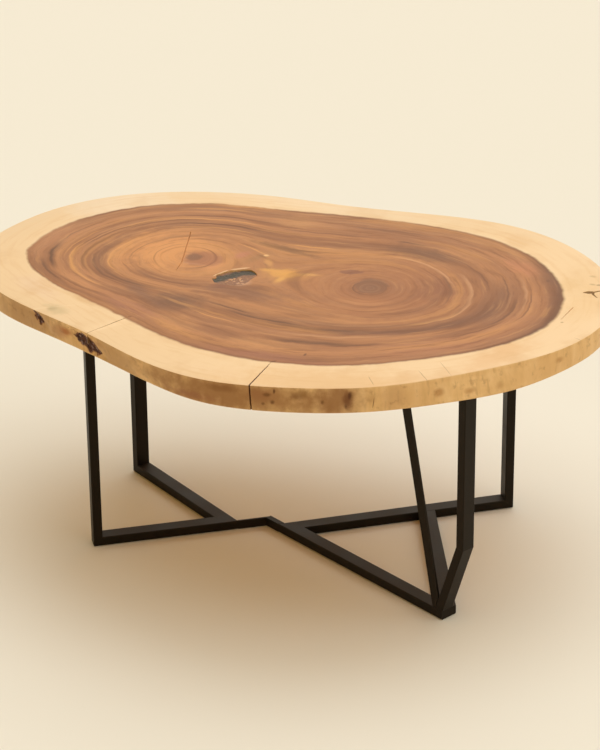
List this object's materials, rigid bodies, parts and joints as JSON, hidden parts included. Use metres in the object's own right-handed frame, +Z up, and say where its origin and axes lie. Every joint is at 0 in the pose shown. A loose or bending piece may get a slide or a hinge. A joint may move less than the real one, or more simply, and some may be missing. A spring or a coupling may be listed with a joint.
{
  "type": "live edge table",
  "caption": "Dining table with one thick live edge slab screwed to a welded base of flat-laid steel tube with upright, bent and slender legs.",
  "frame": {"origin": "on the floor, under the middle of the slab's bounding box", "axes": "+X along the slab towards its wider end, +Y towards its straighter back edge, +Z up; the waisted front edge faces -Y"},
  "size_m": [1.704, 1.1755, 0.75],
  "materials": {
    "slab_wood": "satin oil over brown heartwood and cream sapwood",
    "dark_resin": "polished dark casting resin",
    "bark": "rough dark bark",
    "black_steel": "satin black powder coat",
    "insert_brass": "turned brass",
    "zinc_steel": "zinc plated",
    "glide_plastic": "matt black pads"
  },
  "bodies": {
    "root": {"slab_top": "slab_wood", "hollow_resin_fill": "dark_resin", "front_check_fill": "dark_resin", "left_check_fill": "dark_resin", "fork_bark_inclusion": "bark", "left_front_floor_bar": "black_steel", "left_back_floor_bar": "black_steel", "right_front_floor_bar": "black_steel", "right_back_floor_bar": "black_steel", "right_cross_bar": "black_steel", "right_front_end_cap": "black_steel", "left_link_strip": "black_steel", "right_link_bar": "black_steel", "left_front_leg": "black_steel", "left_back_leg": "black_steel", "right_back_leg": "black_steel", "right_bent_leg_lower": "black_steel", "right_bent_leg_upper": "black_steel", "right_strut": "black_steel", "left_front_plate": "black_steel", "left_back_plate": "black_steel", "right_back_plate": "black_steel", "right_bent_leg_plate": "black_steel", "right_strut_plate": "black_steel", "threaded_inserts": "insert_brass", "plate_washers": "zinc_steel", "plate_screws": "zinc_steel", "floor_glides": "glide_plastic"}
  },
  "joints": []
}
